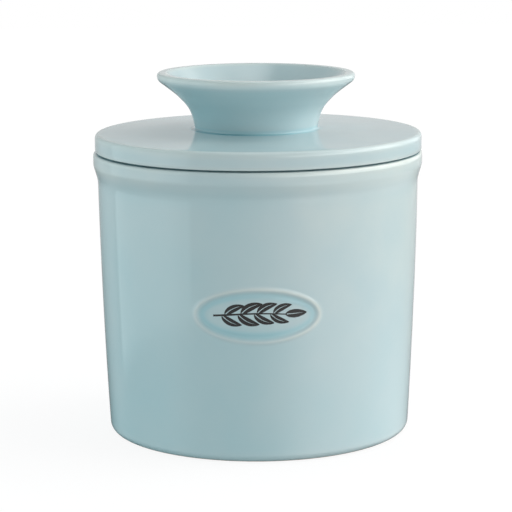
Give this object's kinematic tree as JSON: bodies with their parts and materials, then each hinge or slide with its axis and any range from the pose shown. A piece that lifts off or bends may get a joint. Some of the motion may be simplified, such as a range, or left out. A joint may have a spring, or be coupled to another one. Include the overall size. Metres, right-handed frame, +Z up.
{
  "type": "butter crock",
  "caption": "Round pot with a beaded lip and a flat lid that has a flared hollow knob above and a bell-shaped butter cup below, hanging inside the pot.",
  "frame": {"origin": "centre of the plane that the pot stands on, on its axis", "axes": "+Z up along the axis of the pot and lid, -Y towards the side with the oval medallion, +X to the right of someone facing the medallion"},
  "size_m": [0.1001, 0.1, 0.1099],
  "materials": {
    "aqua_glaze": "glossy celadon glaze, paler where it thins over edges",
    "bare_clay": "unglazed fired stoneware, matt",
    "black_print": "black ceramic print fired into the glaze"
  },
  "bodies": {
    "crock": {"crock": "aqua_glaze"},
    "bell_lid": {"bell_lid": "aqua_glaze"}
  },
  "joints": [
    {"name": "lid_lift", "type": "slide", "parent": "crock", "child": "bell_lid", "axis": [0, 0, 1], "range_m": [0, 0.1]}
  ]
}
